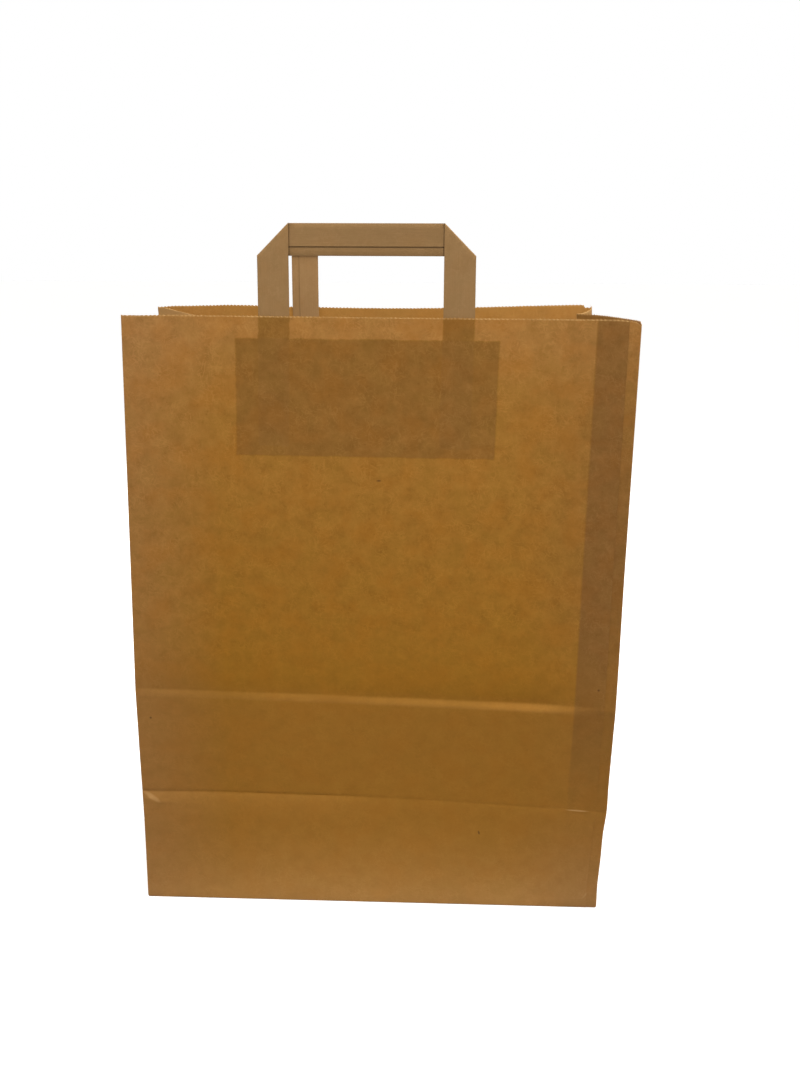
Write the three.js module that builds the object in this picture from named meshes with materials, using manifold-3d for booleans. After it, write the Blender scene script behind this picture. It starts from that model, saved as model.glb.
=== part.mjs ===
// Paper carrier bag: one folded sheet with a flat base and pleated sides, two handles folded from
// paper strip, and the two patches that glue the handles to the inside of the panels.
// Millimetres, +Z up, origin at the centre of the base's underside, front of the bag towards -Y.

import * as THREE from "three";
import { ParametricGeometry } from "three/addons/geometries/ParametricGeometry.js";
import { mergeVertices } from "three/addons/utils/BufferGeometryUtils.js";
import Module from "manifold-3d";

// Paper and the gap left for glue where two pieces lie on each other
const ply = 0.15;
const glueGap = 0.3;

// The bag: the width and depth are those of its base, the height is to the cut rim
const bagWidth = 320;
const bagDepth = 160;
const bagHeight = 410;

// How the opened bag stands: the front leans out at its two cross creases and at the rim, and the
// middle crease of each side is pushed in by this much at the rim
const foldCreaseOut = 8;
const printCreaseOut = 19;
const rimOut = 15;
const gussetPush = 30;

// Folded base: the two long flaps lap over each other, and the inner one steps up over the edge
const baseLap = 20;
const lapStep = 0.4;

// Glued seam down the front panel, near its right fold
const seamLap = 20;
const seamMargin = 7.5;

// Handles: a three-ply strip, mitred at two corners, with a free edge set back from one long edge
const stripWidth = 19.5;
const freeEdgeSetback = 5.6;
const handleSpan = 134;
const handleRise = 55.5;
const legDrop = 80;
const handleShift = 7;

// Patches glued over the legs
const patchWidth = 163;
const patchHeight = 73;
const patchDrop = 13;
const patchEase = 0.6;

const wasm = await Module();
wasm.setup();

function toSolid(geometry) {
  const bare = geometry.clone();
  bare.deleteAttribute("normal");
  bare.deleteAttribute("uv");
  const merged = mergeVertices(bare, 1e-5);
  const index = merged.index.array;
  const triangles = [];
  for (let i = 0; i < index.length; i += 3) {
    const [a, b, c] = [index[i], index[i + 1], index[i + 2]];
    if (a !== b && b !== c && c !== a) triangles.push(a, b, c);
  }
  return new wasm.Manifold(new wasm.Mesh({
    numProp: 3,
    vertProperties: new Float32Array(merged.attributes.position.array),
    triVerts: new Uint32Array(triangles),
  }));
}

function toMesh(name, solid, material) {
  const { vertProperties, triVerts } = solid.getMesh();
  const geometry = new THREE.BufferGeometry();
  geometry.setAttribute("position", new THREE.BufferAttribute(vertProperties, 3));
  geometry.setIndex(new THREE.BufferAttribute(triVerts, 1));
  geometry.computeVertexNormals();
  const mesh = new THREE.Mesh(geometry, material);
  mesh.name = name;
  return mesh;
}

function joinAll(solids) {
  return solids.reduce((whole, solid) => whole.add(solid));
}

// A flat piece of paper: its outline in X and Y, lying between two heights in Z
function plate(outline, low, high) {
  const shape = new THREE.Shape(outline.map(([x, y]) => new THREE.Vector2(x, y)));
  const geometry = new THREE.ExtrudeGeometry(shape, { depth: high - low, bevelEnabled: false });
  return toSolid(geometry.translate(0, 0, low));
}

function mirrored(outline, sideX, sideY) {
  return outline.map(([x, y]) => [x * sideX, y * sideY]);
}

// The stance of the opened sheet at a height: each side is two halves of constant width that hinge
// on a middle crease, so pushing the crease in draws the front and back panels together.
const halfGusset = bagDepth / 2;
const creaseHeight = halfGusset;
const printHeight = bagDepth;

function frontAt(height) {
  const heights = [0, creaseHeight, printHeight, bagHeight];
  const leans = [0, foldCreaseOut, printCreaseOut, rimOut];
  const above = Math.max(1, heights.findIndex((level) => height <= level));
  const share = (height - heights[above - 1]) / (heights[above] - heights[above - 1]);
  return -bagDepth / 2 - THREE.MathUtils.lerp(leans[above - 1], leans[above], share);
}

function pushAt(height) {
  return gussetPush * THREE.MathUtils.clamp((height - creaseHeight) / (bagHeight - creaseHeight), 0, 1);
}

function depthAt(height) {
  return 2 * Math.sqrt(halfGusset ** 2 - pushAt(height) ** 2);
}

// Corners of the sheet at a height, moved inwards by an inset, in order from the front left
function cornersAt(height, inset) {
  const push = pushAt(height);
  const halfDepth = depthAt(height) / 2;
  const front = frontAt(height);
  const middle = front + halfDepth;
  const foldX = bagWidth / 2 - inset * (halfGusset + push) / halfDepth;
  const creaseX = bagWidth / 2 - push - inset * halfGusset / halfDepth;
  const frontY = front + inset;
  const backY = front + 2 * halfDepth - inset;
  return [
    [-foldX, frontY], [foldX, frontY], [creaseX, middle],
    [foldX, backY], [-foldX, backY], [-creaseX, middle],
  ];
}

// A solid that fills the sheet up to an inset from its outer face, over a list of levels: each is
// a height in the solid and the height at which the sheet's corners are taken
function filling(inset, levels) {
  const rings = levels.map(([z, height]) => cornersAt(height, inset).map(([x, y]) => [x, y, z]));
  const centre = ([z, height]) => [0, frontAt(height) + depthAt(height) / 2, z];
  const rows = [[centre(levels[0])], ...rings, [centre(levels.at(-1))]];
  const around = rings[0].length;
  const surface = (u, v, target) => {
    const row = rows[Math.round(v * (rows.length - 1))];
    target.set(...row[Math.round(u * around) % row.length]);
  };
  return toSolid(new ParametricGeometry(surface, around, rows.length - 1));
}

// Levels of the sheet: its two cross creases, then even steps up to the rim, over which the sides
// turn in little by little. A cutting solid runs past both ends.
const past = 5;
const stepsToRim = 8;
const upperHeights = Array.from(
  { length: stepsToRim },
  (_, step) => THREE.MathUtils.lerp(printHeight, bagHeight, (step + 1) / stepsToRim),
);
const sheetLevels = [0, creaseHeight, printHeight, ...upperHeights].map((height) => [height, height]);
const hollowLevels = [[-past, 0], ...sheetLevels, [bagHeight + past, bagHeight]];

// A strip of the front panel between two distances across it and two insets from its outer face
function frontStrip(left, right, outerInset, innerInset, levels) {
  const edge = (inset) => levels.map(([z, height]) => [z, frontAt(height) + inset]);
  const turn = new THREE.Matrix4().makeBasis(
    new THREE.Vector3(0, 0, 1), new THREE.Vector3(0, 1, 0), new THREE.Vector3(-1, 0, 0),
  );
  return plate([...edge(outerInset), ...edge(innerInset).reverse()], -right, -left)
    .transform(turn.elements);
}

// Bag body: the tube with its glued seam. The seam's inner ply runs under the front panel to the
// fold, and the panel's free edge stops short of it, so a narrow margin lies one ply further in.
function bagTube() {
  const filled = filling(0, sheetLevels);
  const tube = filled.subtract(filling(ply, hollowLevels));
  const freeEdge = bagWidth / 2 - seamMargin;
  const innerPly = frontStrip(freeEdge - seamLap, bagWidth / 2, ply / 2, 2 * ply, sheetLevels);
  const margin = frontStrip(freeEdge, bagWidth / 2 - 2 * ply, -past, ply, hollowLevels);
  return tube.add(innerPly.intersect(filled)).subtract(margin);
}

function foldedBase() {
  const halfWidth = bagWidth / 2;
  const halfDepth = bagDepth / 2;
  const reach = halfDepth + baseLap / 2;
  const lapEdge = reach - halfDepth;
  const longFlap = [
    [-halfWidth, -halfDepth], [halfWidth, -halfDepth],
    [halfWidth - reach, lapEdge], [-halfWidth + reach, lapEdge],
  ];
  const lowBack = lapEdge + lapStep;
  const backFlap = [
    [-halfWidth, halfDepth], [-halfWidth + halfDepth - lowBack, lowBack],
    [halfWidth - halfDepth + lowBack, lowBack], [halfWidth, halfDepth],
  ];
  const backLap = [
    [-halfWidth + reach, -lapEdge], [halfWidth - reach, -lapEdge],
    [halfWidth - reach, lowBack + past], [-halfWidth + reach, lowBack + past],
  ];
  const cornerFold = [
    [halfWidth, -halfDepth], [halfWidth - reach, lapEdge], [halfWidth - reach, -halfDepth],
  ];
  const endFlap = [
    [halfWidth, -halfDepth], [halfWidth, halfDepth],
    [halfWidth - reach, halfDepth], [halfWidth - reach, -halfDepth],
  ];
  const layers = [plate(longFlap, 0, ply), plate(backFlap, 0, ply), plate(backLap, ply, 2 * ply)];
  for (const sideX of [-1, 1]) {
    layers.push(plate(mirrored(endFlap, sideX, 1), 2 * ply, 3 * ply));
    for (const sideY of [-1, 1]) layers.push(plate(mirrored(cornerFold, sideX, sideY), ply, 2 * ply));
  }
  return joinAll(layers);
}

// Handle and patch lie in a panel's own plane: X across, Y up from the rim, Z out of the bag,
// with Z = 0 on the panel's inner face
const legOuter = handleSpan / 2;
const legBack = -glueGap - 3 * ply;

// The part of the strip between two distances from its outer edge, as a leg and as the bar
function legBand(from, to) {
  const mitre = handleRise - stripWidth;
  return [
    [-legOuter + from, -legDrop], [-legOuter + to, -legDrop],
    [-legOuter + to, mitre + to], [-legOuter + from, mitre + from],
  ];
}

function barBand(from, to) {
  const mitre = handleRise - stripWidth;
  return [
    [-legOuter + from, mitre + from], [legOuter - from, mitre + from],
    [legOuter - to, mitre + to], [-legOuter + to, mitre + to],
  ];
}

function foldedHandle() {
  const pieces = [
    plate(barBand(freeEdgeSetback, stripWidth), legBack - ply, legBack),
    plate(barBand(0, stripWidth), legBack - 3 * ply, legBack - ply),
  ];
  for (const side of [-1, 1]) {
    pieces.push(plate(mirrored(legBand(0, stripWidth), side, 1), legBack + ply, -glueGap));
    pieces.push(plate(mirrored(legBand(freeEdgeSetback, stripWidth), side, 1), legBack, legBack + ply));
  }
  return joinAll(pieces).translate(-handleShift, 0, 0);
}

// The patch lies on the panel and steps over each leg: its outline is drawn as X and depth
function gluedPatch() {
  const low = glueGap;
  const high = glueGap - legBack;
  const outer = legOuter + patchEase;
  const inner = legOuter - stripWidth - patchEase;
  const edge = patchWidth / 2;
  const panelSide = [
    [-edge, low], [-outer, low], [-outer, high], [-inner, high], [-inner, low],
    [inner, low], [inner, high], [outer, high], [outer, low], [edge, low],
  ];
  const bagSide = [
    [edge, low + ply], [outer + ply, low + ply], [outer + ply, high + ply], [inner - ply, high + ply],
    [inner - ply, low + ply], [-inner + ply, low + ply], [-inner + ply, high + ply],
    [-outer - ply, high + ply], [-outer - ply, low + ply], [-edge, low + ply],
  ];
  const turn = new THREE.Matrix4().makeRotationX(-Math.PI / 2);
  return plate([...panelSide, ...bagSide], 0, patchHeight)
    .transform(turn.elements)
    .translate(-handleShift, -patchDrop - patchHeight, 0);
}

// A frame on a panel's inner face at the rim, leaning as the panel does beside the patch
function panelFrame(outerFaceAt) {
  const foot = bagHeight - patchDrop - patchHeight;
  const frame = new THREE.Group();
  const lean = Math.atan2(outerFaceAt(bagHeight) - outerFaceAt(foot), bagHeight - foot);
  frame.position.set(0, outerFaceAt(bagHeight) + ply, bagHeight);
  frame.rotation.x = Math.PI / 2 - lean;
  return frame;
}

const kraft = new THREE.MeshStandardMaterial({ color: 0xa87945, roughness: 0.85, metalness: 0 });
const strip = new THREE.MeshStandardMaterial({ color: 0x9c7c55, roughness: 0.8, metalness: 0 });
const patch = new THREE.MeshStandardMaterial({ color: 0x96734a, roughness: 0.85, metalness: 0 });

const frontFrame = panelFrame(frontAt);
frontFrame.add(toMesh("front_handle", foldedHandle(), strip));
frontFrame.add(toMesh("front_patch", gluedPatch(), patch));

const backFrame = panelFrame((height) => -frontAt(height) - depthAt(height));
backFrame.add(toMesh("back_handle", foldedHandle(), strip));
backFrame.add(toMesh("back_patch", gluedPatch(), patch));
const backTurn = new THREE.Group();
backTurn.rotation.z = Math.PI;
backTurn.add(backFrame);

const bag = new THREE.Group();
bag.name = "paper_carrier_bag";
bag.add(toMesh("bag_body", bagTube().add(foldedBase()), kraft));
bag.add(frontFrame, backTurn);

export default bag;
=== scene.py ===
import math

import bpy
from mathutils import Matrix, Vector, noise


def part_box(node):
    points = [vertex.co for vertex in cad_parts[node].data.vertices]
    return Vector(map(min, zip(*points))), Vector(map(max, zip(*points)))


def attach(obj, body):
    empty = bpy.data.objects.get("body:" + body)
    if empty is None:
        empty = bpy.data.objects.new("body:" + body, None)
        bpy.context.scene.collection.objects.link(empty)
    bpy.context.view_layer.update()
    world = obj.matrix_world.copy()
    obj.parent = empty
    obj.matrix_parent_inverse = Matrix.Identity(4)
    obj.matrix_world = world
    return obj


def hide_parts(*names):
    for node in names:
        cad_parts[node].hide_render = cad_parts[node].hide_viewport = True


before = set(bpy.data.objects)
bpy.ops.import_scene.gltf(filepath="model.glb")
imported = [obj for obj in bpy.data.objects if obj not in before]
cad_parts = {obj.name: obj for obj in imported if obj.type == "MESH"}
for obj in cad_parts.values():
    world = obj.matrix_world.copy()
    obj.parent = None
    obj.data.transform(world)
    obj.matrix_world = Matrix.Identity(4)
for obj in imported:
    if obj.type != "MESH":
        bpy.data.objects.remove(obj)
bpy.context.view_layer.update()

# The view: the bag stands on a plain pale floor in soft studio light, which comes from high in front
# and above, from both sides and from behind. The camera looks slightly down at the front.
mm = 0.001
photo_height_px = 1067
focal_length_px = 1128
look_left = math.radians(2.18)
look_down = math.radians(14.18)
tilt = math.radians(0.25)
camera_place = (47 * mm, -793.7 * mm, 451.7 * mm)

camera = bpy.data.objects.new("camera", bpy.data.cameras.new("camera"))
bpy.context.scene.collection.objects.link(camera)
camera.data.sensor_width = 36
camera.data.lens = focal_length_px / photo_height_px * camera.data.sensor_width
turn = Matrix.Rotation(look_left, 3, "Z") @ Matrix.Rotation(math.pi / 2 - look_down, 3, "X")
turn = turn @ Matrix.Rotation(tilt, 3, "Z")
camera.matrix_world = Matrix.Translation(camera_place) @ turn.to_4x4()
bpy.context.scene.camera = camera
bpy.context.scene.view_settings.view_transform = "Standard"

bpy.ops.object.select_all(action="DESELECT")
bpy.ops.mesh.primitive_plane_add(size=30, location=(0, 0, 0))
floor = bpy.context.object
floor.name = "floor"
floor_finish = bpy.data.materials.new("pale_floor")
floor_finish.use_nodes = True
floor.data.materials.append(floor_finish)

world = bpy.data.worlds.new("studio")
bpy.context.scene.world = world
world.use_nodes = True


def two_levels(tree, for_room, for_camera, inlet):
    """The level that lights the room, and the brighter one of the floor and the backdrop as seen."""
    rays = tree.nodes.new("ShaderNodeLightPath")
    level = tree.nodes.new("ShaderNodeMapRange")
    level.inputs["To Min"].default_value = for_room
    level.inputs["To Max"].default_value = for_camera
    tree.links.new(rays.outputs["Is Camera Ray"], level.inputs["Value"])
    tree.links.new(level.outputs["Result"], inlet)


floor_shader = floor_finish.node_tree.nodes["Principled BSDF"]
floor_shader.inputs["Roughness"].default_value = 0.9
floor_shader.inputs["Emission Strength"].default_value = 1
two_levels(floor_finish.node_tree, 0.36, 0.84, floor_shader.inputs["Base Color"])
two_levels(floor_finish.node_tree, 0, 0.38, floor_shader.inputs["Emission Color"])
backdrop = world.node_tree.nodes["Background"]
backdrop.inputs["Strength"].default_value = 1
two_levels(world.node_tree, 0.36, 1.0, backdrop.inputs["Color"])


def shine(name, kind, place, aim, strength, colour):
    light = bpy.data.lights.new(name, kind)
    light.energy = strength
    light.color = colour
    lamp = bpy.data.objects.new(name, light)
    bpy.context.scene.collection.objects.link(lamp)
    look = (Vector(aim) - Vector(place)).to_track_quat("-Z", "Y")
    lamp.matrix_world = Matrix.Translation(place) @ look.to_matrix().to_4x4()
    return light


studio_white = (1, 0.985, 0.96)
warm_white = (1, 0.98, 0.95)
high_light = shine("high_light", "SUN", (0.35, -0.9, 1.45), (0, 0, 0.2), 1.6, studio_white)
high_light.angle = math.radians(38)
for name, place, aim, strength, size, colour in (
    ("near_light", (-0.1, -1.2, 1.1), (0, -0.02, 0.3), 5, 0.6, warm_white),
    ("right_light", (1.3, -0.12, 0.9), (0, 0, 0.3), 6.5, 0.8, studio_white),
    ("left_light", (-1.1, -0.55, 0.85), (-0.1, 0, 0.42), 4.5, 0.8, studio_white),
    ("back_light", (-0.3, 1.5, 0.9), (0, 0, 0.25), 13, 0.8, studio_white),
    ("ceiling_light", (0.15, -0.13, 1.15), (0.1, -0.09, 0.3), 7, 0.4, studio_white),
):
    soft_light = shine(name, "AREA", place, aim, strength, colour)
    soft_light.shape = "DISK"
    soft_light.size = size

# The bag is one sheet of brown kraft paper. It is glued into a tube with a lap seam near the front
# panel's right fold, pleated at both sides, and its foot is folded flat and glued into the base.
body_low, body_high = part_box("bag_body")
panel_width = body_high.x - body_low.x
bag_height = body_high.z
bag_depth = 160 * mm
pleat_depth = bag_depth / 2
seam_lap = 20 * mm
seam_margin = 7.5 * mm
flap_reach = pleat_depth + 10 * mm
paper_thickness = 0.16 * mm
ply_step = 0.2 * mm
tooth_pitch = 2.6 * mm
tooth_depth = 0.8 * mm

# The front has two cross creases: a sharp one, bowed and falling a little to the right, where the
# base was folded, and a soft one above it. A side has one along each slant of its foot triangle.
fold_crease_height = 83.6 * mm
fold_crease_fall = 2.4 * mm
fold_crease_bow = 1.9 * mm
print_crease_height = 163 * mm
corner_crease = 1.2 * mm

# Places across the flat sheet, from the seam's inner edge round the bag to its outer edge
front_right = seam_lap + seam_margin
right_pleat = front_right + pleat_depth
back_right = right_pleat + pleat_depth
back_left = back_right + panel_width
left_pleat = back_left + pleat_depth
front_left = left_pleat + pleat_depth
outer_edge = front_left + panel_width - seam_margin
upright_folds = (front_right, right_pleat, back_right, back_left, left_pleat, front_left)

# How the opened bag stands, at the foot, at its two cross creases and at the rim. Turns are in
# degrees and the rest in millimetres. The last rows say how far the pleats are pushed in and dip.
stance_height = (0, 82.4, 160.5, 410)
stance = {
    "front_x": (0, 0.7, 1.5, 6.8),
    "front_y": (-80, -86.3, -95.8, -91.3),
    "front_turn": (0, -1.85, -2.94, -0.2),
    "left_z": (0, 82.4, 160.2, 410.9),
    "right_z": (0, 81.6, 158.7, 409.2),
    "back_x": (0, 0.4, 1, -5.9),
    "back_y": (80, 73.3, 63, 56),
    "back_turn": (0, -1.85, -2.94, 1.13),
    "back_z": (0, 82.2, 160, 409.6),
    "left_push": (0, 4.5, 9.8, 38.4),
    "right_push": (0, 4.5, 9.8, 25.6),
    "left_dip": (0, 0, 0.6, 3.8),
    "right_dip": (0, 0, 0, 0.1),
}


def ramp(value, start, end):
    share = min(1.0, max(0.0, (value - start) / (end - start)))
    return share * share * (3 - 2 * share)


def eased(marks, values, above, share):
    """A smooth curve through all four values, for the back, which has no cross creases."""
    def slope(i):
        before = max(0, i - 1)
        after = min(len(marks) - 1, i + 1)
        return (values[after] - values[before]) / (marks[after] - marks[before])

    run = marks[above] - marks[above - 1]
    rise = values[above] - values[above - 1]
    bend = share * share * (3 - 2 * share)
    start_bend = share * (1 - share) ** 2 * run * slope(above - 1)
    end_bend = share * share * (share - 1) * run * slope(above)
    return values[above - 1] + rise * bend + start_bend + end_bend


def stance_at(height):
    """Each row of the stance at a height above the foot along the sheet."""
    marks = [mark * mm for mark in stance_height]
    above = 1
    while above < len(marks) - 1 and height > marks[above]:
        above += 1
    share = (height - marks[above - 1]) / (marks[above] - marks[above - 1])
    level = {}
    for row, values in stance.items():
        if row.startswith("back"):
            level[row] = eased(marks, values, above, share)
        else:
            level[row] = values[above - 1] + (values[above] - values[above - 1]) * share
    return level


def panel_end(middle_x, middle_y, turn_degrees, z, reach):
    turned = math.radians(turn_degrees)
    along = Vector((math.cos(turned), math.sin(turned), 0)) * reach
    return Vector((middle_x * mm, middle_y * mm, z * mm)) + along


corner_memory = {}


def corners(height):
    """The four corner folds at a height, and how far the two pleats are pushed in and dip."""
    key = round(height, 7)
    if key not in corner_memory:
        at = stance_at(height)
        reach = panel_width / 2 + 0.5 * mm * ramp(height, 60 * mm, 90 * mm)
        # The front right corner is dented at the foot and stands out at the sharp crease
        knuckle = 0.7 * mm * bump(height - 81 * mm, 13 * mm) - 0.6 * mm * bump(height - 20 * mm, 16 * mm)
        knuckle += 0.4 * mm * ramp(height, 60 * mm, 100 * mm) * (1 - ramp(height, 170 * mm, 260 * mm))
        corner_memory[key] = (
            panel_end(at["front_x"], at["front_y"], at["front_turn"], at["left_z"], -reach),
            panel_end(at["front_x"], at["front_y"], at["front_turn"], at["right_z"], reach + knuckle),
            panel_end(at["back_x"], at["back_y"], at["back_turn"], at["back_z"], reach),
            panel_end(at["back_x"], at["back_y"], at["back_turn"], at["back_z"], -reach),
            (at["left_push"] * mm, at["left_dip"] * mm),
            (at["right_push"] * mm, at["right_dip"] * mm),
        )
    return corner_memory[key]


def near_line(x, y, start, end):
    """How far a point of the sheet lies from a short line on it."""
    run = (end[0] - start[0], end[1] - start[1])
    share = ((x - start[0]) * run[0] + (y - start[1]) * run[1]) / (run[0] ** 2 + run[1] ** 2)
    share = min(1.0, max(0.0, share))
    return math.hypot(x - start[0] - share * run[0], y - start[1] - share * run[1])


def bump(distance, width):
    return math.exp(-((distance / width) ** 2))


def cockle(x, y, seed):
    """The slight waviness of paper that has been folded, packed and opened."""
    wide = noise.noise(Vector((x / (75 * mm), y / (95 * mm), seed)))
    close = noise.noise(Vector((x / (24 * mm), y / (30 * mm), seed + 5)))
    return 0.9 * mm * wide + 0.16 * mm * close


def fold_crease_at(share):
    """The height of the sharp cross crease, for a share of the way across the front."""
    bow = fold_crease_bow * math.sin(math.pi * share ** 0.9)
    return fold_crease_height - fold_crease_fall * share + bow


def print_crease_at(share):
    """The height of the soft cross crease, which wanders a little."""
    wander = 0.4 * noise.noise(Vector((share * 9, 0, 3))) + 0.3 * noise.noise(Vector((share * 31, 0, 8)))
    return print_crease_height + (0.3 + wander) * mm


# Short wrinkles of the front panel: the two ends of each, as places across and up the panel, its
# height and its width, all in millimetres
front_wrinkles = (
    ((2, 82), (9, 76.5), 0.9, 1.3),
    ((9, 76.5), (16, 76), 0.6, 1.5),
    ((318, 21), (309, 8), 0.9, 1.6),
    ((292, 81.6), (308, 81.2), 0.4, 1.3),
    ((106, 160), (112, 157), 0.2, 1.2),
    ((134, 160.5), (138, 163), 0.25, 1.1),
)


def front_relief(x, height):
    """How far the front panel lies behind the flat between its corner folds."""
    share = x / panel_width
    across = math.sin(math.pi * share)
    sunk = 3.0 * mm * across * ramp(height, 0, 80 * mm) * (1 - ramp(height, 100 * mm, 330 * mm))
    sunk += 1.2 * mm * across * bump(height - 330 * mm, 90 * mm)
    above_fold = height - fold_crease_at(share)
    strength = 1 - 0.7 * ramp(share, 0.4, 0.56) + 0.25 * ramp(share, 0.85, 0.95)
    groove = 0.5 * mm * (0.15 + 0.85 * strength)
    lip = 0
    if above_fold < 0:
        groove *= math.exp(above_fold / (1.6 * mm))
        lip = 1.1 * mm * strength * math.erf(-above_fold / (8 * mm))
        lip *= 1 - ramp(-above_fold, 8 * mm, 62 * mm)
    else:
        groove *= max(0, 1 - above_fold / (1.4 * mm))
    above_print = height - print_crease_at(share)
    fade = (0.2 + 0.8 * ramp(share, 0.2, 0.93)) * ramp(share, 0, 0.05) * (1 - ramp(share, 0.84, 0.97))
    fade *= 1 + 0.4 * noise.noise(Vector((share * 8, 0, 6)))
    band = 5.6 * mm
    if above_print > 0:
        valley = math.exp(-above_print / (9 * mm))
    else:
        valley = ramp(above_print, -band, 0)
    sunk += groove - lip + 1.95 * mm * fade * valley
    for start, end, height_mm, width_mm in front_wrinkles:
        distance = near_line(x / mm, height / mm, start, end)
        sunk -= height_mm * mm * bump(distance, width_mm)
    return sunk


def back_relief(x, height):
    across = math.sin(math.pi * x / panel_width)
    bowed = 1.6 * mm * across * bump(height - 250 * mm, 130 * mm)
    waist = 1.4 * mm * across * bump(height - 70 * mm, 60 * mm)
    return bowed - waist


def pleat_bow(from_front, height, bows):
    """How far a half of a side bows outwards near the rim."""
    half = 0 if from_front < pleat_depth else 1
    share = (from_front - half * pleat_depth) / pleat_depth
    return bows[half] * math.sin(math.pi * share) * ramp(height, 215 * mm, bag_height)


def side_point(front_fold, back_fold, pleat, from_front, height, inward_x, bows):
    """A point of a side, whose foot is a flat triangle between two diagonal creases."""
    share = from_front / bag_depth
    chord = back_fold - front_fold
    inward = Vector((inward_x * chord.y, -inward_x * chord.x, 0)).normalized()
    from_fold = min(from_front, bag_depth - from_front)
    reach = from_fold
    push, pleat_dip = pleat
    if height < pleat_depth:
        reach = min(from_fold, height)
        push = stance["left_push"][1] * mm
    amount = push * reach / pleat_depth
    crease = 0
    if from_front < pleat_depth:
        crease = 0.5 * mm * bump(height - fold_crease_at(0.5), 1.1 * mm) * ramp(from_fold, 0, 8 * mm)
    corner_line = abs(height - from_fold) / math.sqrt(2)
    on_triangle = ramp(from_fold, 4 * mm, 10 * mm) * ramp(pleat_depth - from_fold, 0, 5 * mm)
    crease += 0.4 * mm * max(0, 1 - corner_line / corner_crease) * on_triangle
    fade = ramp(from_fold, 0, 9 * mm) * ramp(pleat_depth - from_fold, 0, 9 * mm) * ramp(height, 0, 10 * mm)
    amount += crease - pleat_bow(from_front, height, bows)
    amount += fade * cockle(from_front, height, 20 + inward_x)
    dip = Vector((0, 0, pleat_dip * reach / pleat_depth))
    return front_fold + chord * share + inward * amount - dip


def wall_point(across, height):
    """A point of the standing walls, for a place across the flat sheet and up it."""
    fl, fr, br, bl, left_side, right_side = corners(max(0, height))
    if across < front_right or across >= front_left:
        x = across - front_left
        behind = 0
        if across < front_right:
            x = panel_width - front_right + across
            behind = ply_step * (1 - ramp(across, seam_lap, front_right))
        fade = ramp(min(x, panel_width - x), 0, 9 * mm)
        sunk = front_relief(x, height) + fade * ramp(height, 0, 12 * mm) * cockle(x, height, 0) + behind
        run = fr - fl
        inward = Vector((-run.y, run.x, 0)).normalized()
        return fl + run * (x / panel_width) + inward * sunk
    if across < back_right:
        return side_point(fr, br, right_side, across - front_right, height, -1, (6 * mm, 4.5 * mm))
    if across < back_left:
        x = across - back_right
        fade = ramp(min(x, panel_width - x), 0, 9 * mm)
        sunk = back_relief(x, height) + fade * ramp(height, 0, 12 * mm) * cockle(x, height, 40)
        run = bl - br
        inward = Vector((-run.y, run.x, 0)).normalized()
        return br + run * (x / panel_width) + inward * sunk
    return side_point(fl, bl, left_side, front_left - across, height, 1, (2.5 * mm, 0.3 * mm))


# The base, layer by layer from below: the front flap, the back flap that laps over it, the corners
# that are folded under both, and the end flaps inside. Each is flat at its own level.
outer_level = 0.1 * mm
corner_level = 0.55 * mm
end_level = 1.0 * mm
nose_reach = 0.45 * mm


def over(distance, half_gap, reach):
    """A fold right over: how far inside the fold line the paper lies, and its share of the rise."""
    if abs(distance) >= reach:
        return abs(distance), math.copysign(1, distance)
    angle = math.pi / 2 * distance / reach
    return reach - half_gap * math.cos(angle), math.sin(angle)


def base_corner(past_fold, depth, lift):
    """Distances from the end and from the long edge, and the level, near a corner of the base.
    past_fold is measured from the corner fold: negative on a long flap, positive on an end flap."""
    gap = (end_level - corner_level) / 2
    if past_fold >= 0:
        inside, rise = over(past_fold, gap, nose_reach)
        level = end_level if inside == past_fold else (end_level + corner_level) / 2 + gap * rise
        return depth, inside, level
    from_fold = -past_fold
    low_gap = (corner_level - outer_level) / 2
    past_mitre = (depth - from_fold) / math.sqrt(2)
    inside, rise = over(past_mitre, low_gap, nose_reach)
    middle = (from_fold + depth) / 2
    level = (corner_level + outer_level) / 2 + low_gap * rise + lift * (1 - rise) / 2
    along = middle + inside / math.sqrt(2)
    deep = middle - inside / math.sqrt(2)
    if from_fold < nose_reach and past_mitre > 0:
        share = min(1.0, past_mitre / nose_reach)
        near, turned = over(past_fold, gap, nose_reach)
        deep += (near - from_fold) * share
        level += ((end_level + corner_level) / 2 + gap * turned - corner_level) * share
    return along, deep, level


def base_point(across, height):
    depth = -height
    if across < front_right or across >= front_left or back_right <= across < back_left:
        if across < front_right:
            x = panel_width - front_right + across
        elif across >= front_left:
            x = across - front_left
        else:
            x = across - back_right
        at_back = back_right <= across < back_left
        lift = 0
        if at_back:
            lap_start = pleat_depth - (flap_reach - pleat_depth) - 4 * mm
            lift = (corner_level - outer_level) * ramp(depth, lap_start, lap_start + 4 * mm)
        if across < front_right:
            lift = ply_step
        side = -1 if x < panel_width / 2 else 1
        from_fold = min(x, panel_width - x)
        along, deep, level = base_corner(-from_fold, depth, lift)
        place_x = side * (panel_width / 2 - along)
        place_y = -bag_depth / 2 + deep
        if at_back:
            return Vector((-place_x, -place_y, level))
        return Vector((place_x, place_y, level))
    on_right = across < back_right
    from_front = across - front_right if on_right else front_left - across
    from_fold = min(from_front, bag_depth - from_front)
    along, deep, level = base_corner(from_fold, depth, 0)
    place_y = -bag_depth / 2 + deep
    if from_front > pleat_depth:
        place_y = -place_y
    place_x = panel_width / 2 - along
    return Vector((place_x if on_right else -place_x, place_y, level))


def on_curve(start, peak, end, share):
    rest = 1 - share
    return start * (rest * rest) + peak * (2 * rest * share) + end * (share * share)


def foot_level(across):
    on_end = front_right < across < back_right or back_left < across < front_left
    return end_level if on_end else outer_level


upright_round = 1.1 * mm
foot_round = 0.9 * mm


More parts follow.
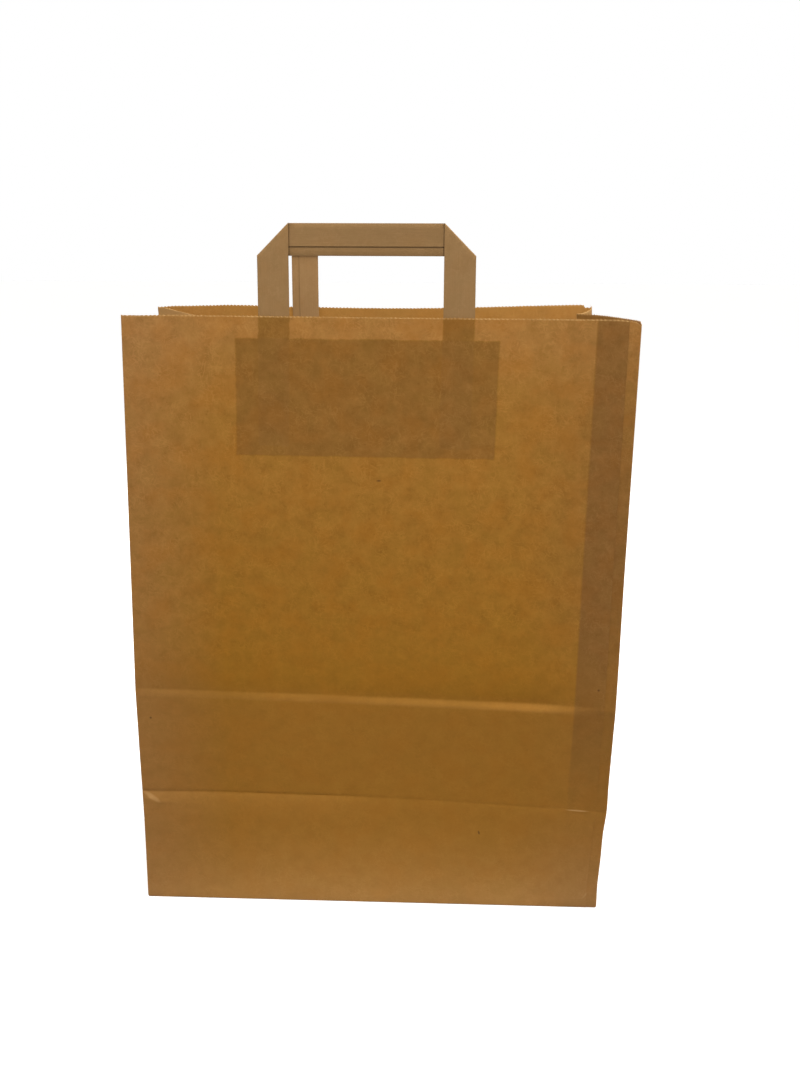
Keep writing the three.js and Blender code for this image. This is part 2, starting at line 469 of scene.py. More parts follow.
def rounded_wall(across, height):
    """The wall with its upright folds rounded, standing on the level of its own flap."""
    def standing(place):
        raised = foot_level(place) * (1 - ramp(height, 0, 12 * mm))
        return wall_point(place, height) + Vector((0, 0, raised))

    for fold in upright_folds:
        if abs(across - fold) < upright_round:
            start = standing(fold - upright_round)
            peak = (standing(fold - 1e-6) + standing(fold + 1e-6)) / 2
            end = standing(fold + upright_round)
            return on_curve(start, peak, end, (across - fold + upright_round) / (2 * upright_round))
    return standing(across)


def bag_point(across, height):
    if abs(height) < foot_round:
        start = base_point(across, -foot_round)
        peak = rounded_wall(across, 0)
        end = rounded_wall(across, foot_round)
        return on_curve(start, peak, end, (height + foot_round) / (2 * foot_round))
    if height > 0:
        return rounded_wall(across, height)
    return base_point(across, height)


def spaced(stops, step):
    """Places from the first stop to the last, with every stop and even steps between them."""
    places = [stops[0]]
    for start, end in zip(stops, stops[1:]):
        count = max(1, round((end - start) / step))
        places += [start + (end - start) * (i + 1) / count for i in range(count)]
    return places


def around(fold, reach):
    return [fold - reach, fold - reach / 2, fold, fold + reach / 2, fold + reach]


def flat_paper(name, columns, rows):
    """A flat sheet: a grid whose lines are slid to the given places."""
    bpy.ops.object.select_all(action="DESELECT")
    bpy.ops.mesh.primitive_grid_add(
        x_subdivisions=len(columns) - 1, y_subdivisions=len(rows) - 1, size=2, location=(0, 0, 0)
    )
    paper = bpy.context.object
    paper.name = name
    for vertex in paper.data.vertices:
        column = round((vertex.co.x + 1) / 2 * (len(columns) - 1))
        row = round((vertex.co.y + 1) / 2 * (len(rows) - 1))
        vertex.co = (columns[column], rows[row], 0)
    return paper


def choose(paper, kind, wanted):
    """Selects only the faces or the edges that are wanted, by the middle of each."""
    mesh = paper.data
    for part in (mesh.vertices, mesh.edges, mesh.polygons):
        part.foreach_set("select", [False] * len(part))
    bpy.context.tool_settings.mesh_select_mode = (False, kind == "edges", kind == "polygons")
    for part in getattr(mesh, kind):
        points = [mesh.vertices[i].co for i in part.vertices]
        part.select = wanted(sum(points, Vector()) / len(points))


def cut_across(paper, place, direction, wanted):
    choose(paper, "polygons", wanted)
    bpy.ops.object.mode_set(mode="EDIT")
    bpy.ops.mesh.bisect(plane_co=place, plane_no=direction)
    bpy.ops.object.mode_set(mode="OBJECT")


def saw_edge(paper, edge_height, pitch, depth):
    """The cut end of the sheet, which the bag maker's saw knife leaves in fine teeth."""
    choose(paper, "edges", lambda middle: abs(middle.y - edge_height) < 1e-5)
    bpy.ops.object.mode_set(mode="EDIT")
    bpy.ops.mesh.subdivide(number_cuts=5)
    bpy.ops.object.mode_set(mode="OBJECT")
    for vertex in paper.data.vertices:
        if abs(vertex.co.y - edge_height) < 1e-5:
            tooth = abs(vertex.co.x / pitch % 1 - 0.5) * 2
            vertex.co.y += (tooth - 0.5) * depth


def keep_flat_places(paper):
    """The places on the flat sheet become its UV map, in metres, so that patterns follow the paper."""
    uv = paper.data.uv_layers.active.data
    for loop in paper.data.loops:
        uv[loop.index].uv = paper.data.vertices[loop.vertex_index].co.xy


def fold_up(paper, place):
    for vertex in paper.data.vertices:
        vertex.co = place(vertex.co.x, vertex.co.y)


def give_thickness(paper, thickness, smooth_degrees=40):
    bpy.ops.object.select_all(action="DESELECT")
    paper.select_set(True)
    bpy.context.view_layer.objects.active = paper
    solid = paper.modifiers.new("thickness", "SOLIDIFY")
    solid.thickness = thickness
    solid.offset = 0
    bpy.ops.object.modifier_apply(modifier=solid.name)
    bpy.ops.object.shade_smooth_by_angle(angle=math.radians(smooth_degrees))


# The lines of the sheet's grid lie close together at the folds and at the two cross creases
wide_step = 5 * mm
columns = spaced([0, seam_lap, front_right - upright_round], wide_step)
for fold, next_fold in zip(upright_folds, upright_folds[1:] + (outer_edge + upright_round,)):
    columns += around(fold, upright_round)[1:]
    columns += spaced([fold + upright_round, next_fold - upright_round], wide_step)[1:]
rows = spaced([-flap_reach, -pleat_depth, -foot_round], wide_step)
rows += around(0, foot_round)[1:]
for start, end, step in (
    (foot_round, 74 * mm, wide_step),
    (74 * mm, 88 * mm, 0.9 * mm),
    (88 * mm, 152 * mm, wide_step),
    (152 * mm, 172 * mm, 1.1 * mm),
    (172 * mm, bag_height, wide_step),
):
    rows += spaced([start, end], step)[1:]

bag = flat_paper("bag_sheet", columns, rows)
for fold, slope, flap_end in (
    (front_left, 1, front_left + flap_reach),
    (back_right, 1, back_right + flap_reach),
    (back_left, -1, back_left - flap_reach),
    (outer_edge + seam_margin, -1, outer_edge - flap_reach),
    (front_right, -1, 0),
):
    low_end = min(fold, flap_end)
    high_end = max(fold, flap_end)
    for step in (-1, -0.5, 0, 0.5, 1):
        place = (fold + step * nose_reach * math.sqrt(2), 0, 0)
        inside = lambda m: m.y < 0 and low_end - 5 * mm < m.x < high_end + 5 * mm
        cut_across(bag, place, (1, slope, 0), inside)
for fold, slope in ((front_right, 1), (back_right, -1), (back_left, 1), (front_left, -1)):
    for step in (-1, 0, 1):
        place = (fold + step * corner_crease * math.sqrt(2), 0, 0)
        far = fold + slope * pleat_depth
        inside = lambda m: 2 * mm < m.y < pleat_depth and min(fold, far) < m.x < max(fold, far)
        cut_across(bag, place, (1, -slope, 0), inside)
saw_edge(bag, bag_height, tooth_pitch, tooth_depth)
saw_edge(bag, -flap_reach, tooth_pitch, tooth_depth)


def rim_dip(across):
    """Small nicks and the slight unevenness of the cut rim."""
    dip = 2.6 * mm * bump(across - front_right, 2.5 * mm) + 0.8 * mm * bump(across - back_left, 8 * mm)
    rise = 2.3 * mm * (1 - ramp(abs(across - back_right), 0, 75 * mm))
    if back_right < across < back_left:
        x = across - back_right
        dip += 1.9 * mm * (1 - ramp(x, 4 * mm, 5.4 * mm)) + 0.8 * mm * bump(x - 150 * mm, 60 * mm)
        rise += 0.8 * mm * bump(x - 60 * mm, 35 * mm) + 1.0 * mm * bump(x - 262 * mm, 28 * mm)
    elif right_pleat < across < back_right:
        dip += 1.9 * mm * ramp(across, back_right - 15 * mm, back_right - 1 * mm)
    elif front_right < across < right_pleat:
        rise = 0.6 * mm * bump(across - right_pleat + 20 * mm, 22 * mm)
    elif across <= front_right or across >= front_left:
        x = across - front_left if across >= front_left else panel_width - front_right + across
        rise = 0.6 * mm * ramp(x, 10 * mm, 30 * mm) + 0.35 * mm * ramp(x, 150 * mm, 290 * mm)
        rise *= 1 - ramp(x, 304 * mm, 318 * mm)
    return dip - rise


keep_flat_places(bag)
for vertex in bag.data.vertices:
    if vertex.co.y > bag_height - 3 * mm:
        vertex.co.y -= rim_dip(vertex.co.x)
fold_up(bag, bag_point)
give_thickness(bag, paper_thickness)


class Term:
    """One output of a finish's nodes. Sums written with it become Math nodes."""

    def __init__(self, finish, socket):
        self.finish = finish
        self.socket = socket

    def maths(self, operation, first, second=0.0):
        return self.finish.node("Math", {"operation": operation}, {0: first, 1: second})

    def __add__(self, other):
        return self.maths("ADD", self, other)

    __radd__ = __add__

    def __mul__(self, other):
        return self.maths("MULTIPLY", self, other)

    __rmul__ = __mul__

    def __sub__(self, other):
        return self.maths("SUBTRACT", self, other)

    def __rsub__(self, other):
        return self.maths("SUBTRACT", other, self)

    def __truediv__(self, other):
        return self.maths("DIVIDE", self, other)

    def __abs__(self):
        return self.maths("ABSOLUTE", self)

    def limited(self):
        return self.finish.node("Clamp", {}, {"Value": self})

    def past(self, edge, softness):
        """Nought before an edge and one after it, with a soft step between."""
        return ((self - (edge - softness / 2)) / softness).limited()

    def between(self, low, high, softness):
        return self.past(low, softness) * (1 - self.past(high, softness))


class Finish:
    """The finish of one kind of paper, as a material made of nodes."""

    def __init__(self, name, roughness):
        self.material = bpy.data.materials.new(name)
        self.material.use_nodes = True
        self.tree = self.material.node_tree
        self.shader = self.tree.nodes["Principled BSDF"]
        self.shader.inputs["Roughness"].default_value = roughness

    def feed(self, inlet, value):
        if isinstance(value, Term):
            self.tree.links.new(value.socket, inlet)
        else:
            inlet.default_value = value

    def node(self, kind, settings, inlets, outlet=0):
        """Any node: its type, its settings, and the value or the term for each of its sockets."""
        made = self.tree.nodes.new("ShaderNode" + kind)
        for name, value in settings.items():
            setattr(made, name, value)
        for inlet, value in inlets.items():
            self.feed(made.inputs[inlet], value)
        return Term(self, made.outputs[outlet])

    def mixed(self, share, first, second, blend="MIX"):
        """Two colours, mixed by a share. In a Mix node the colours are sockets 6 and 7."""
        settings = {"data_type": "RGBA", "blend_type": blend}
        return self.node("Mix", settings, {0: share, 6: first, 7: second}, 2)

    def cloud(self, place, scale, detail=2.0, roughness=0.5):
        inlets = {"Vector": place, "Scale": scale, "Detail": detail, "Roughness": roughness}
        return self.node("TexNoise", {"noise_dimensions": "3D"}, inlets)

    def stretched(self, place, scale, angle):
        mapping = {"Vector": place, "Scale": scale, "Rotation": (0, 0, angle)}
        return self.node("Mapping", {"vector_type": "TEXTURE"}, mapping)


def kraft_pattern(finish, place, contrast):
    """Kraft paper, as a tint around white: cloudy formation, warmer and greener patches, thin pale
    fibres and dark flecks. Also gives the height of the fibres for the relief."""
    formation = finish.cloud(place, 105, 4.0, 0.62)
    patches = finish.cloud(place, 48, 2.0, 0.55)
    tint = finish.mixed(formation.past(0.5, 0.46), (0.80, 0.78, 0.71, 1), (1.17, 1.19, 1.28, 1))
    tint = finish.mixed(patches.past(0.56, 0.2) * 0.55, tint, (1.06, 0.96, 0.76, 1))
    tint = finish.mixed((1 - patches.past(0.44, 0.2)) * 0.5, tint, (0.95, 1.01, 0.92, 1))
    fibres = None
    for angle, seed in ((0.5, 0.0), (1.5, 0.31), (2.2, 0.67), (2.9, 0.83)):
        moved = finish.node("VectorMath", {"operation": "ADD"}, {0: place, 1: (seed, seed, seed)})
        bent = finish.cloud(moved, 130, 1.0, 0.5)
        inlets = {0: (1.0, 0.4, 0.0), "Scale": bent * 0.006}
        wander = finish.node("VectorMath", {"operation": "SCALE"}, inlets)
        strewn = finish.node("VectorMath", {"operation": "ADD"}, {0: moved, 1: wander})
        lines = finish.cloud(finish.stretched(strewn, (4.5, 1.0, 1.0), angle), 1250, 1.0, 0.4)
        strands = lines.past(0.645, 0.07)
        fibres = strands if fibres is None else fibres + strands
    fibres = fibres.limited()
    here_and_there = finish.cloud(place, 70, 1.0, 0.5).past(0.52, 0.25) * 0.3 + 0.12
    tint = finish.mixed(fibres * here_and_there, tint, (1.34, 1.40, 1.6, 1))
    grain = finish.cloud(place, 340, 3.0, 0.65)
    tint = finish.mixed(grain.past(0.5, 0.4) * 0.5, tint, (0.84, 0.83, 0.78, 1), "MULTIPLY")
    tint = finish.mixed(0.5, tint, (1.15, 1.16, 1.2, 1), "MULTIPLY")
    flecks = finish.cloud(place, 520, 2.0, 0.6)
    tint = finish.mixed((1 - flecks.past(0.33, 0.05)) * 0.35, tint, (0.66, 0.6, 0.52, 1))
    tint = finish.mixed(contrast, (1, 1, 1, 1), tint)
    relief = formation * 0.6 + fibres * 0.25 + flecks * 0.4
    return tint, relief


def press_relief(finish, relief, strength, distance):
    inlets = {"Strength": strength, "Distance": distance, "Height": relief}
    finish.feed(finish.shader.inputs["Normal"], finish.node("Bump", {}, inlets))


kraft = Finish("brown_kraft_paper", 0.75)
kraft.shader.inputs["Specular IOR Level"].default_value = 0.08
sheet_place = kraft.node("UVMap", {"uv_map": "UVMap"}, {})
across_sheet = kraft.node("SeparateXYZ", {}, {"Vector": sheet_place}, 0)
up_sheet = kraft.node("SeparateXYZ", {}, {"Vector": sheet_place}, 1)

# Where another layer is glued behind the sheet less light from inside comes through, so painted shade
# makes it darker and greyer from outside: over the patches, over the handles' legs and over the seam's
# lap.
handle_middle = panel_width / 2 - 7.9 * mm
back_shift = 0.9 * mm
leg_spread = 66.5 * mm
strip_width = 19.2 * mm
patch_width = 163 * mm
patch_height = 73 * mm
patch_shift = 0.7 * mm
patch_drop = 13 * mm
patch_foot = bag_height - patch_drop - patch_height
leg_drop = 80 * mm
glue_edge = kraft.cloud(sheet_place, 150, 2.0, 0.5) * (1.6 * mm) - 0.8 * mm
across_glue = across_sheet + glue_edge
up_glue = up_sheet + glue_edge
behind = None
for panel_start in (front_left, back_right + back_shift):
    middle = panel_start + handle_middle
    patch_left = middle + patch_shift - patch_width / 2
    patch_shape = across_glue.between(patch_left, patch_left + patch_width, 1.2 * mm)
    patch_shape = patch_shape * up_glue.between(patch_foot, patch_foot + patch_height, 1.2 * mm)
    legs = across_glue.between(middle - leg_spread, middle - leg_spread + strip_width, 0.9 * mm)
    legs = legs + across_glue.between(middle + leg_spread - strip_width, middle + leg_spread, 0.9 * mm)
    legs = legs * up_glue.past(bag_height - leg_drop, 1.5 * mm)
    layer = (patch_shape * 0.85 + legs * 0.8 * (1 - patch_shape * 0.75)).limited()
    behind = layer if behind is None else behind + layer
seam = across_sheet.past(outer_edge - seam_lap + 0.8 * mm, 1.4 * mm)

# Painted light from inside the open mouth, which comes through a single layer, more of it near the rim.
# Below the soft crease the paper is painted paler to offset the shade of its slope. Painted floor light
# makes the foot paler, a painted sheen makes the paper paler and greyer near the folds, and painted
# shade darkens the left of the front.
deep_kraft = (0.241, 0.104, 0.0100, 1)
low_kraft = (0.264, 0.115, 0.0152, 1)
lit_kraft = (0.325, 0.156, 0.048, 1)
patched_kraft = (0.196, 0.0895, 0.0188, 1)
lapped_kraft = (0.164, 0.0735, 0.0165, 1)
painted_light_kraft = (0.390, 0.198, 0.056, 1)
fold_sheen_kraft = (0.268, 0.133, 0.050, 1)
shaded_kraft = (0.1, 0.04, 0.004, 1)
low_glow = ((up_sheet - 180 * mm) / (220 * mm)).limited()
high_glow = ((up_sheet - 345 * mm) / (50 * mm)).limited()
glow = low_glow * 0.32 + high_glow * high_glow * 0.26
# Painted light: paler below the soft crease, and the inside light that shows through one layer
paper_colour = kraft.mixed(up_sheet.past(print_crease_height, 10 * mm), low_kraft, deep_kraft)
paper_colour = kraft.mixed(glow * (1 - behind) * (1 - seam), paper_colour, lit_kraft)
# Painted shade over the patches, the legs and the seam's lap, where less inside light comes through
paper_colour = kraft.mixed(behind, paper_colour, patched_kraft)
paper_colour = kraft.mixed(seam * up_sheet.past(130 * mm, 140 * mm) * 0.95, paper_colour, lapped_kraft)
# Painted shade: the paper darkens towards the seam's edge
near_seam = 1 - (abs(across_sheet - outer_edge + seam_lap) / (45 * mm)).limited()
paper_colour = kraft.mixed(near_seam * low_glow.past(0.1, 0.3) * 0.3, paper_colour, lapped_kraft)
# The strip between the seam's free edge and the right fold is painted darker, most at half height
right_margin = 1 - across_sheet.past(front_right, 1 * mm)
half_way_up = 1 - (abs(up_sheet - 260 * mm) / (230 * mm)).limited()
paper_colour = kraft.mixed(right_margin * half_way_up, paper_colour, lapped_kraft)
from_left = across_sheet - front_left
on_front = from_left.past(0, 2 * mm)
front_share = (from_left / panel_width).limited()
near_foot = 1 - (abs(up_sheet) / (85 * mm)).limited()
foot_edge = 1 - (abs(up_sheet) / (26 * mm)).limited()
# Painted floor light: the foot is painted paler, more at the right
foot_floor_light = near_foot * near_foot * (front_share.past(0.85, 0.4) * 0.35 + 0.82) + foot_edge * 0.16
paper_colour = kraft.mixed(foot_floor_light.limited(), paper_colour, painted_light_kraft)
# Painted shade: the lower left of the front and its left edge are painted darker
low_left = (1 - (from_left / (150 * mm)).limited()) * (1 - up_sheet.past(180 * mm, 160 * mm))
paper_colour = kraft.mixed(low_left * on_front * 0.16, paper_colour, shaded_kraft)
left_edge = (1 - (from_left / (90 * mm)).limited()) * (1 - up_sheet.past(330 * mm, 80 * mm))
paper_colour = kraft.mixed(left_edge * on_front * 0.12, paper_colour, shaded_kraft)
# Painted sheen: paler and greyer near the upright folds and, by the seam, near the foot
sheen_near_folds = None
fold_shares = (
    (front_right, near_foot * 0.5 + 0.1),
    (back_right, 0.3),
    (back_left, 0.3),
    (front_left, 0.45),
    (outer_edge + seam_margin, near_foot * 0.5 + 0.12),
)
for fold, share in fold_shares:
    near = (1 - (abs(across_sheet - fold) / (62 * mm)).limited()) * share
    sheen_near_folds = near if sheen_near_folds is None else sheen_near_folds + near
paper_colour = kraft.mixed(sheen_near_folds, paper_colour, fold_sheen_kraft)
paper_tint, paper_relief = kraft_pattern(kraft, sheet_place, 1.0)
cloudiness = up_sheet.past(190 * mm, 60 * mm) * 0.4 + low_glow * 0.15 + 0.5
paper_tint = kraft.mixed(cloudiness, (1, 1, 1, 1), paper_tint)
paper_colour = kraft.mixed(1.0, paper_colour, paper_tint, "MULTIPLY")

# Painted light: the back and the back halves of the pleats are painted paler at the mouth
mouth_light_kraft = (0.42, 0.205, 0.042, 1)
mouth_light_pleat_kraft = (0.46, 0.27, 0.11, 1)
at_mouth = up_sheet.past(bag_height - 20 * mm, 30 * mm)
far_side = across_sheet.between(right_pleat, left_pleat, 2 * mm) * at_mouth
paper_colour = kraft.mixed(far_side * 0.38, paper_colour, mouth_light_kraft)
far_pleats = far_side * (1 - across_sheet.between(back_right, back_left, 2 * mm))
paper_colour = kraft.mixed(far_pleats * 0.4, paper_colour, mouth_light_pleat_kraft)

# Fibres are broken and pale along the creases and folds and at the cut rim. Below the two cross
# creases the paper has painted highlights, and above the soft one a painted shade.
cut_kraft = (0.60, 0.36, 0.14, 1)
worn = kraft.cloud(sheet_place, 700, 2.0, 0.6).past(0.45, 0.3)
tooth_place = across_sheet / tooth_pitch + kraft.cloud(sheet_place, 90, 1.0, 0.5) * 1.2
tooth = abs(kraft.node("Math", {"operation": "FRACT"}, {0: tooth_place}) - 0.5) * 2
frayed = kraft.cloud(sheet_place, 55, 2.0, 0.6).past(0.5, 0.3) * 0.7 + 0.7
cut_edge = up_sheet.past(bag_height - 0.7 * mm, 0.4 * mm) * (tooth * 0.5 + 0.2)
cut_edge = cut_edge * (worn * 0.65 + 0.35) * frayed
lines = None
for fold in upright_folds:
    line = 1 - abs(across_sheet - fold).past(0.5 * mm, 0.7 * mm)
    lines = line if lines is None else lines + line
side_low = up_sheet.between(0, pleat_depth, 1 * mm)
for fold, way in ((front_right, 1), (back_right, -1), (back_left, 1), (front_left, -1)):
    from_corner = (across_sheet - fold) * way
    line = 1 - abs(from_corner - up_sheet).past(0.7 * mm, 0.7 * mm)
    lines = lines + line * from_corner.between(0, pleat_depth, 1 * mm) * side_low
side_front = across_sheet.between(left_pleat, front_left, 1 * mm)
side_front = side_front + across_sheet.between(front_right, right_pleat, 1 * mm)
side_crease = 1 - abs(up_sheet - fold_crease_at(0.5)).past(0.7 * mm, 0.7 * mm)
lines = lines + side_crease * side_front
# Painted highlight below the sharp crease, strongest on the left
bow = kraft.node("Math", {"operation": "SINE"}, {0: front_share * math.pi}) * fold_crease_bow
below_fold = fold_crease_height - up_sheet - front_share * fold_crease_fall + bow
crease_highlight = below_fold.past(0.5 * mm, 1 * mm) * (1 - (below_fold / (24 * mm)).limited())
crease_highlight = crease_highlight * on_front * (1 - front_share.past(0.47, 0.14) * 0.8)
paper_colour = kraft.mixed(crease_highlight * 0.12, paper_colour, painted_light_kraft)
# Painted shade above the soft crease, strongest on the left
below_print = print_crease_height - up_sheet
above_print = (1 - abs(below_print / (14 * mm))).limited() * (1 - below_print.past(0, 1 * mm))
above_print = above_print * on_front * (0.12 - front_share * 0.06)
paper_colour = kraft.mixed(above_print, paper_colour, shaded_kraft)
# Painted highlight on the band just below the soft crease
print_highlight = below_print.between(0, 5.5 * mm, 1.6 * mm) * from_left.past(3 * mm, 4 * mm)
print_highlight = print_highlight * (front_share.past(0.5, 0.6) * 0.3 + 0.7) * (1 - front_share.past(0.92, 0.1))
paper_colour = kraft.mixed(print_highlight * 0.15, paper_colour, painted_light_kraft)
broken = (cut_edge * 0.9 + lines * worn * 0.25).limited()
paper_colour = kraft.mixed(broken, paper_colour, cut_kraft)

# Single marks of the front, dark specks and painted highlights on creases and small wrinkles: the place
# of each across and up it, its length and its width in millimetres, its slope, how strong it is and its
# colour
dark_speck = (0.07, 0.03, 0.01, 1)
wrinkle_highlight = (0.50, 0.29, 0.115, 1)
front_marks = (
    (162, 309, 1.6, 0.7, 0, 0.7, dark_speck),
    (235, 60, 0.9, 1.6, -0.8, 0.7, dark_speck),
    (308, 175, 0.9, 0.9, 0, 0.7, dark_speck),
    (9.4, 141, 0.9, 0.9, 0, 0.7, dark_speck),
    (7, 79.6, 6, 2.2, -0.6, 0.35, wrinkle_highlight),
    (300, 81.6, 8, 0.7, -0.02, 0.5, wrinkle_highlight),
    (313.5, 14, 4.5, 1.5, 1.4, 0.3, wrinkle_highlight),
)
for x, y, length, width, slope, amount, mark_colour in front_marks:
    side_way = from_left - x * mm
    up_way = (up_sheet - y * mm - side_way * slope) / (width * mm)
    side_way = side_way / (length * mm)
    spot = 1 - (side_way * side_way + up_way * up_way).past(0.7, 1.0)
    paper_colour = kraft.mixed(spot * amount, paper_colour, mark_colour)
kraft.feed(kraft.shader.inputs["Base Color"], paper_colour)
press_relief(kraft, paper_relief, 0.3, 0.1 * mm)
bag.data.materials.append(kraft.material)
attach(bag, "root")
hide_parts("bag_body")

# The two handles. Each is a strip of greyer kraft paper, folded lengthwise into three plies with a
# free edge on one face, turned over at two mitred corners and glued by its legs inside a panel.
handle_rise = 56.3 * mm
free_edge_setback = 5.6 * mm
strip_ply = 0.17 * mm
strip_thickness = 0.15 * mm
leg_depth = 0.55 * mm
bar_depth = leg_depth + 0.9 * mm
free_edge_lift = 0.25 * mm
mitre_low = handle_rise - strip_width
strip_half = leg_spread + mitre_low + leg_drop
strip_nose = 0.5 * mm


def three_plies(around_strip):
    """Where a place on the unfolded strip comes to lie: up from the bar's lower edge, and its ply."""
    edge_reach = strip_ply / 2
    if around_strip < 1.5 * strip_width:
        inside, rise = over(around_strip - strip_width, strip_ply / 2, edge_reach)
        return inside, strip_ply / 2 * (1 - rise)
    inside, rise = over(around_strip - 2 * strip_width, strip_ply / 2, edge_reach)
    lift_start = 3 * strip_width - free_edge_setback - 5 * mm
    lift = free_edge_lift * ramp(around_strip, lift_start, 3 * strip_width)
    return strip_width - inside, -strip_ply / 2 * (1 + rise) - lift


def handle_point(along, around_strip):
    """A place on the handle's own plane: across from its middle, up from the rim, and depth."""
    up, ply = three_plies(around_strip)
    side = 1 if along > 0 else -1
    past_mitre = (abs(along) + up - leg_spread) / math.sqrt(2)
    half_gap = abs((bar_depth + ply) - (leg_depth - ply)) / 2
    middle_depth = (bar_depth + leg_depth) / 2
    inside, rise = over(past_mitre, half_gap, strip_nose)
    depth = middle_depth - rise * ((bar_depth - leg_depth) / 2 + ply)
    foot = (abs(along) - up + leg_spread) / 2
    across = foot - inside / math.sqrt(2)
    height = (leg_spread - foot) - inside / math.sqrt(2)
    return side * across, mitre_low + height, depth


def glued_inside(panel_start, lean, sway_seed, tilt=0):
    """Turns places on a handle's or patch's own plane into places inside one panel at its rim."""
    def place(across, height, depth):
        column = panel_start + handle_middle + across
        level = min(0, height)
        here = wall_point(column, bag_height + level)
        beside = wall_point(column + 4 * mm, bag_height + level)
        run = beside - here
        inward = Vector((-run.y, run.x, 0)).normalized()
        below = wall_point(column, bag_height + level - 8 * mm)
        slope = (here - below).dot(inward) / (8 * mm)
        above = max(0, height)
        bend = 10 * mm
        forward = lean * above + (slope - lean) * bend * (1 - math.exp(-above / bend))
        sway = 0.8 * mm * noise.noise(Vector((across / (60 * mm), height / (40 * mm), sway_seed)))
        sway *= ramp(above, 4 * mm, 30 * mm)
        above += tilt * across * ramp(above, 0, 40 * mm)
        return here + inward * (depth + forward + sway) + Vector((0, 0, above))

    return place


strip_step = 3.3 * mm
strip_end = 3 * strip_width - free_edge_setback
strip_rows = spaced([0, strip_width - strip_ply / 2], strip_step)
strip_rows += around(strip_width, strip_ply / 2)[1:]
strip_rows += spaced([strip_width + strip_ply / 2, 2 * strip_width - strip_ply / 2], strip_step)[1:]
strip_rows += around(2 * strip_width, strip_ply / 2)[1:]
strip_rows += spaced([2 * strip_width + strip_ply / 2, strip_end], strip_step)[1:]
strip_columns = spaced([-strip_half, -leg_spread, 0, leg_spread, strip_half], 4 * mm)


def strip_paper(name, colour):
    """Greyer kraft with its grain along the strip, painted shadow under its free edge and beside the legs
    """
    strip = Finish(name, 0.68)
    strip.shader.inputs["Specular IOR Level"].default_value = 0.12
    place = strip.node("UVMap", {"uv_map": "UVMap"}, {})
    along = strip.node("SeparateXYZ", {}, {"Vector": place}, 0)
    across = strip.node("SeparateXYZ", {}, {"Vector": place}, 1)
    tint, relief = kraft_pattern(strip, place, 0.5)
    grain = strip.cloud(strip.stretched(place, (30.0, 1.0, 1.0), 0.0), 1500, 2.0, 0.5)
    tint = strip.mixed(grain.past(0.5, 0.5) * 0.5, tint, (0.86, 0.85, 0.82, 1))
    ground = strip.mixed(1.0, colour, tint, "MULTIPLY")
    # Painted shadow under the free edge and beside the legs, and the bar painted a little darker
    free_edge = strip_width + free_edge_setback
    under_edge = across.between(free_edge - 0.8 * mm, free_edge, 0.2 * mm)
    bar_end = leg_spread - strip_width
    beside_leg = abs(along).between(bar_end - 0.7 * mm, bar_end + 0.4 * mm, 0.2 * mm)
    in_bar = 1 - abs(along).past(bar_end, 1 * mm)
    painted_shadow = (under_edge * (in_bar * 0.45 + 0.22) + beside_leg * 0.5 + in_bar * 0.08).limited()
    ground = strip.mixed(painted_shadow, ground, (0.06, 0.03, 0.012, 1))
    strip.feed(strip.shader.inputs["Base Color"], ground)
    press_relief(strip, relief, 0.25, 0.1 * mm)
    return strip


def fold_handle(name, node, panel_start, lean, sway_seed, tilt, strip):
    """Cuts the mitres across each ply of a flat strip, then folds the strip up and glues it in."""
    handle = flat_paper(name, strip_columns, strip_rows)
    reach_out = strip_nose * math.sqrt(2)
    for side in (-1, 1):
        for step in (-1, -2 / 3, -1 / 3, 0, 1 / 3, 2 / 3, 1):
            for low, start, slope in (
                (0, leg_spread - strip_width, -1),
                (strip_width, leg_spread + strip_width, 1),
                (2 * strip_width, leg_spread - 3 * strip_width, -1),
            ):
                crossing = side * (start + step * reach_out)
                inside = lambda m: low < m.y < low + strip_width and m.x * side > 0
                cut_across(handle, (crossing, 0, 0), (side, slope, 0), inside)
    keep_flat_places(handle)
    place = glued_inside(panel_start, lean, sway_seed, tilt)
    fold_up(handle, lambda x, y: place(*handle_point(x, y)))
    give_thickness(handle, strip_thickness)
    handle.data.materials.append(strip.material)
    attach(handle, "root")
    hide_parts(node)


# Painted light: the back handle's strip is a paler copy, for the floor's light that the front keeps from
# it
front_strip = strip_paper("handle_kraft_strip", (0.244, 0.139, 0.0545, 1))
back_strip_painted_lit = strip_paper("back_handle_painted_lit_strip", (0.29, 0.166, 0.067, 1))
fold_handle("front_handle_strip", "front_handle", front_left, 0.039, 11, 0.0062, front_strip)
fold_handle("back_handle_strip", "back_handle", back_right + back_shift, 0.002, 23, 0, back_strip_painted_lit)

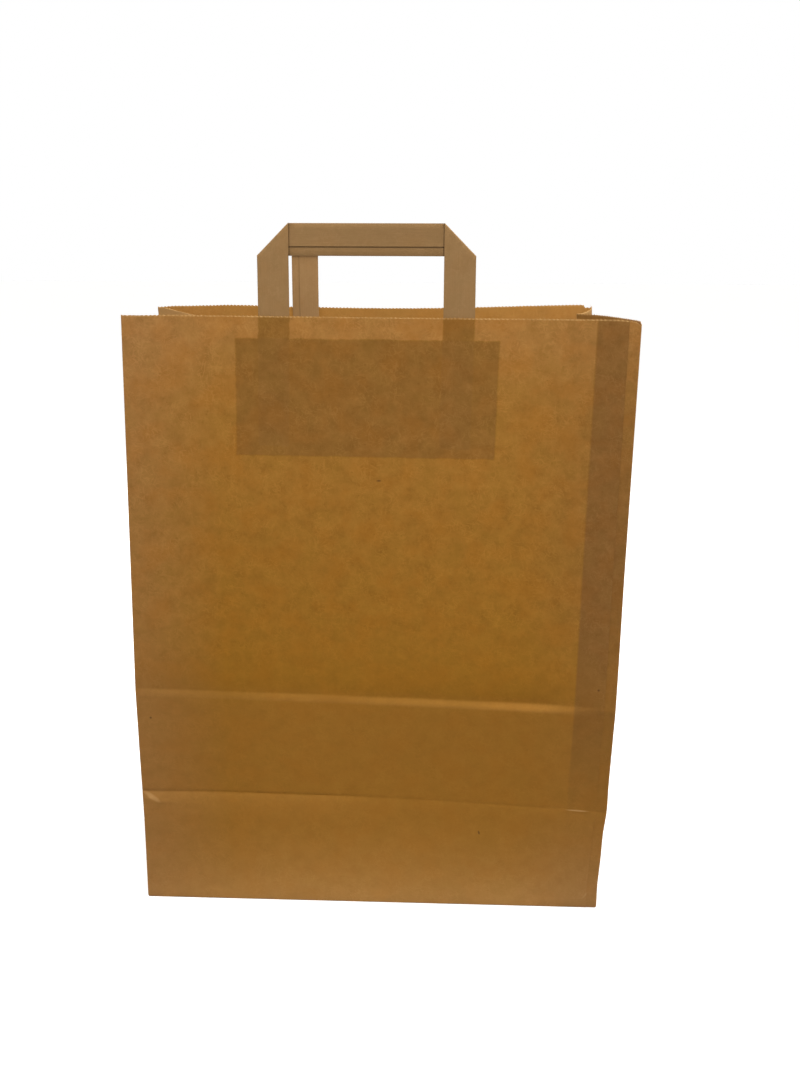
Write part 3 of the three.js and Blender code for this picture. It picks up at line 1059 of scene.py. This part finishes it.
# The two patches: plain rectangles of paper, glued inside each panel over the handle's legs, which
# stand out under them.
patch_thickness = 0.15 * mm
patch_low = 0.25 * mm
patch_high = bar_depth + 0.05 * mm
step_width = 1.3 * mm

patch_finish = Finish("patch_kraft_paper", 0.7)
patch_finish.shader.inputs["Specular IOR Level"].default_value = 0.08
patch_colour = (0.27, 0.145, 0.05, 1)
patch_place = patch_finish.node("UVMap", {"uv_map": "UVMap"}, {})
patch_tint, patch_relief = kraft_pattern(patch_finish, patch_place, 0.8)
patch_ground = patch_finish.mixed(1.0, patch_colour, patch_tint, "MULTIPLY")
patch_finish.feed(patch_finish.shader.inputs["Base Color"], patch_ground)
press_relief(patch_finish, patch_relief, 0.3, 0.1 * mm)


def patch_depth(across):
    """The patch lies on the panel and steps over each leg."""
    outside = ramp(abs(across), leg_spread, leg_spread + step_width)
    within = 1 - ramp(abs(across), leg_spread - strip_width - step_width, leg_spread - strip_width)
    return patch_low + (patch_high - patch_low) * (1 - outside) * (1 - within)


def lay_patch(name, node, panel_start, seed):
    inner_edge = leg_spread - strip_width
    stops = [inner_edge - step_width, inner_edge, leg_spread, leg_spread + step_width, patch_width / 2]
    half = []
    for start, end in zip(stops, stops[1:]):
        step = step_width / 4 if end - start < 2 * step_width else 4 * mm
        half += spaced([start, end], step)[1:]
    middle = spaced([-stops[0], 0, stops[0]], 4 * mm)
    columns = [-x for x in reversed(half)] + middle + half
    columns[0] += patch_shift
    columns[-1] += patch_shift
    rows = spaced([-patch_drop - patch_height, -patch_drop], 3 * mm)
    paper = flat_paper(name, columns, rows)
    keep_flat_places(paper)
    place = glued_inside(panel_start, 0, 0)

    def laid(x, y):
        pucker = 0.12 * mm * (1 + noise.noise(Vector((x / (11 * mm), y / (14 * mm), seed))))
        return place(x, y, patch_depth(x) + pucker)

    fold_up(paper, laid)
    give_thickness(paper, patch_thickness)
    paper.data.materials.append(patch_finish.material)
    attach(paper, "root")
    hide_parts(node)


lay_patch("front_patch_sheet", "front_patch", front_left, 5)
lay_patch("back_patch_sheet", "back_patch", back_right + back_shift, 9)
